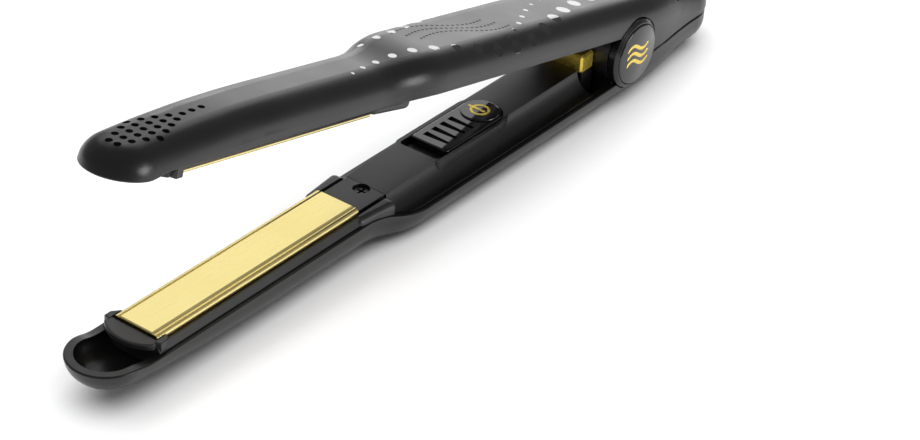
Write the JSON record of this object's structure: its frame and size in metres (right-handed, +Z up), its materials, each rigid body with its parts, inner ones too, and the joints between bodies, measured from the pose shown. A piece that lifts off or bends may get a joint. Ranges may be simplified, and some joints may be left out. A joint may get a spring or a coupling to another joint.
{
  "type": "hair straightener",
  "caption": "Slim hair straightener with two hinged black arms, narrow floating gold plates, slide switch and swivel cord gland, held open by its hinge spring.",
  "frame": {"origin": "point on the lower arm's resting face directly below the hinge axis", "axes": "+X towards the tail, +Y along the hinge axis to the far side, +Z up; the nose points to -X"},
  "size_m": [0.2846, 0.0318, 0.0744],
  "materials": {
    "soft_black_shell": "soft satin black moulded plastic",
    "satin_black_cover": "fine satin black plastic",
    "carrier_black": "heat resistant matt black plastic",
    "gold_plate": "satin gold coated aluminium",
    "ceramic": "white ceramic",
    "silicone": "matt silicone",
    "dark_screw": "blackened steel",
    "wire": "glass-fibre sleeved wire",
    "board_green": "solder-masked board",
    "gloss_black": "polished black plastic",
    "gold_mark": "metallic gold plastic",
    "led_lens": "clear red lens",
    "steel": "ground steel",
    "ring_grey": "dark grey satin plastic"
  },
  "bodies": {
    "lower_arm": {"lower_shell": "soft_black_shell", "lower_inner_cover": "satin_black_cover", "lower_plate_carrier": "carrier_black", "lower_cover_screw": "dark_screw", "lower_tail_cover": "soft_black_shell", "lower_float_pads": "silicone", "lower_leads": "wire", "circuit_board": "board_green", "switch_body": "gloss_black", "power_led": "led_lens", "lower_knuckles": "carrier_black", "hinge_pin": "steel", "hinge_ring_near": "ring_grey", "hinge_cap_near": "gloss_black", "hinge_ring_far": "ring_grey", "hinge_cap_far": "gloss_black", "accent_block": "gold_mark", "accent_plinth": "satin_black_cover"},
    "upper_arm": {"upper_shell": "soft_black_shell", "upper_inner_cover": "satin_black_cover", "upper_plate_carrier": "carrier_black", "upper_cover_screw": "dark_screw", "upper_tail_cover": "soft_black_shell", "upper_float_pads": "silicone", "upper_leads": "wire", "upper_knuckle": "carrier_black", "hinge_spring": "steel"},
    "lower_plate_float": {"lower_plate": "gold_plate", "lower_heater": "ceramic", "lower_sensor": "ceramic"},
    "upper_plate_float": {"upper_plate": "gold_plate", "upper_heater": "ceramic", "upper_sensor": "ceramic"},
    "power_switch": {"power_slider": "gloss_black", "slider_disc": "gloss_black", "slider_mark": "gold_mark"},
    "cord_swivel": {"swivel_gland": "soft_black_shell"}
  },
  "joints": [
    {"name": "arms_hinge", "type": "hinge", "parent": "lower_arm", "child": "upper_arm", "pos_m": [0, 0, 0.016], "axis": [0, 1, 0], "range_deg": [-12.5, 0], "stiffness_Nm_per_rad": 0.25, "springref_deg": 51.57},
    {"name": "lower_plate_press", "type": "slide", "parent": "lower_arm", "child": "lower_plate_float", "axis": [0, 0, -1], "range_m": [0, 0.0008], "stiffness_N_per_m": 2500, "springref_m": -0.0008},
    {"name": "upper_plate_press", "type": "slide", "parent": "upper_arm", "child": "upper_plate_float", "axis": [0.2164, 0, 0.9763], "range_m": [0, 0.0008], "stiffness_N_per_m": 2500, "springref_m": -0.0008},
    {"name": "power_slide", "type": "slide", "parent": "lower_arm", "child": "power_switch", "axis": [-1, 0, 0], "range_m": [0, 0.004]},
    {"name": "cord_turn", "type": "hinge", "parent": "lower_arm", "child": "cord_swivel", "pos_m": [0.05045, 0, 0.008], "axis": [1, 0, 0], "continuous": true}
  ]
}
